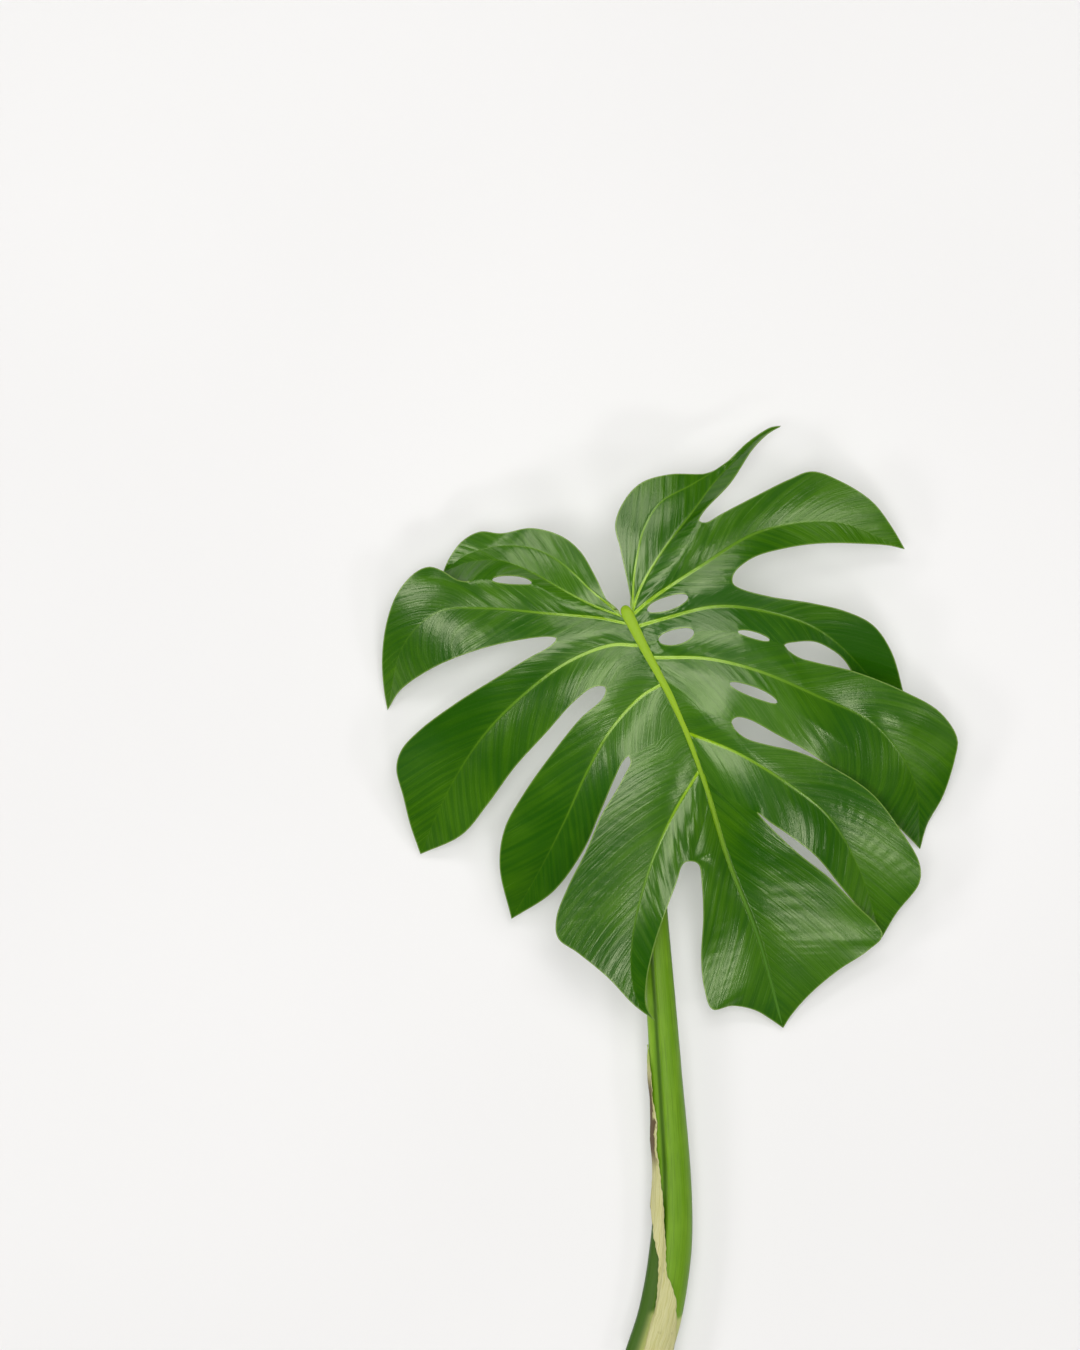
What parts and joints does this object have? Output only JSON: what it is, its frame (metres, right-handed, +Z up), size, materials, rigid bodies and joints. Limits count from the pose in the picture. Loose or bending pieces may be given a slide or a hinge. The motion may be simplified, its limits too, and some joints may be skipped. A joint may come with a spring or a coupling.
{
  "type": "monstera leaf",
  "caption": "Picked monstera leaf lying on its back: a split, perforated heart-shaped blade on a grooved stalk with a dried papery sheath.",
  "frame": {"origin": "middle of the leaf's box in plan, on the surface that it lies on", "axes": "+Z up out of the blade's upper face, +Y from the cut end of the stalk towards the notch at the blade's base, +X to the right with the blade seen from above"},
  "size_m": [0.346, 0.5652, 0.0668],
  "materials": {
    "blade": "glossy waxy upper face with yellow-green veins, paler satin underside",
    "stalk": "smooth satin green skin with fine lengthwise lines",
    "sheath": "matt dried membrane, cream with brown patches"
  },
  "bodies": {
    "root": {"leaf_blade": "blade", "petiole": "stalk", "petiole_sheath": "sheath"}
  },
  "joints": []
}
